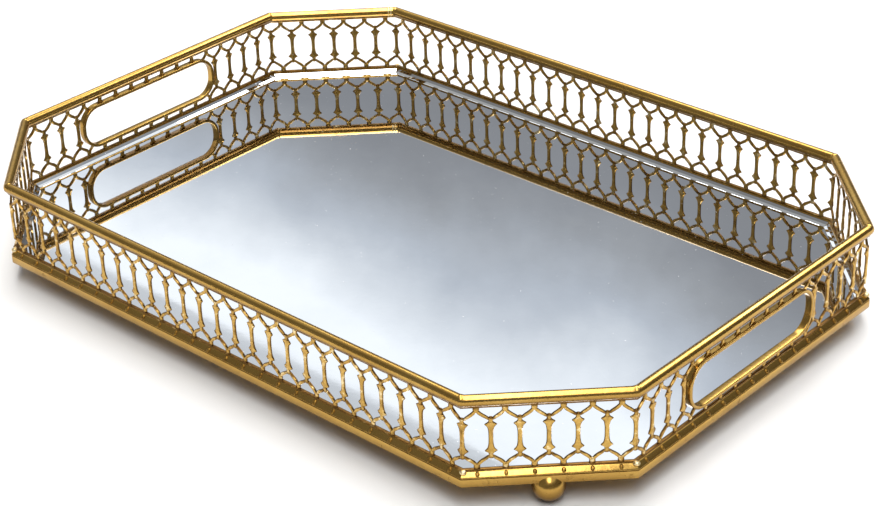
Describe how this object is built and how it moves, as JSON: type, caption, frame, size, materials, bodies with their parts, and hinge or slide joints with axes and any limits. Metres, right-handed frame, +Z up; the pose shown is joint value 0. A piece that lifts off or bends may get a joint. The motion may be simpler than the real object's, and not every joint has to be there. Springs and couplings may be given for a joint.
{
  "type": "mirrored vanity tray",
  "caption": "Eight-sided brass vanity tray with a pierced gallery, a finger opening through each end, a bevelled mirror floor and ball feet.",
  "frame": {"origin": "on the table surface under the middle of the tray", "axes": "+X along the tray's length, +Y across it towards the back, +Z up"},
  "size_m": [0.3854, 0.2722, 0.0525],
  "materials": {
    "gilt_brass": "polished, slightly tarnished",
    "solder": "bright solder",
    "base_sheet": "gold lacquered sheet",
    "felt": "matt felt",
    "silvering": "mirror",
    "mirror_glass": "clear, bevelled edge"
  },
  "bodies": {
    "root": {"top_rim": "gilt_brass", "rim_seam": "solder", "fret_front_left": "gilt_brass", "fret_front": "gilt_brass", "fret_front_right": "gilt_brass", "fret_right": "gilt_brass", "fret_back_right": "gilt_brass", "fret_back": "gilt_brass", "fret_back_left": "gilt_brass", "fret_left": "gilt_brass", "handle_frame_left": "gilt_brass", "handle_frame_right": "gilt_brass", "base_rail": "gilt_brass", "base_plate": "base_sheet", "backing_pad": "felt", "mirror_silvering": "silvering", "mirror_glass": "mirror_glass", "foot_front_left": "gilt_brass", "foot_front_right": "gilt_brass", "foot_back_right": "gilt_brass", "foot_back_left": "gilt_brass", "solder_beads": "solder"}
  },
  "joints": []
}
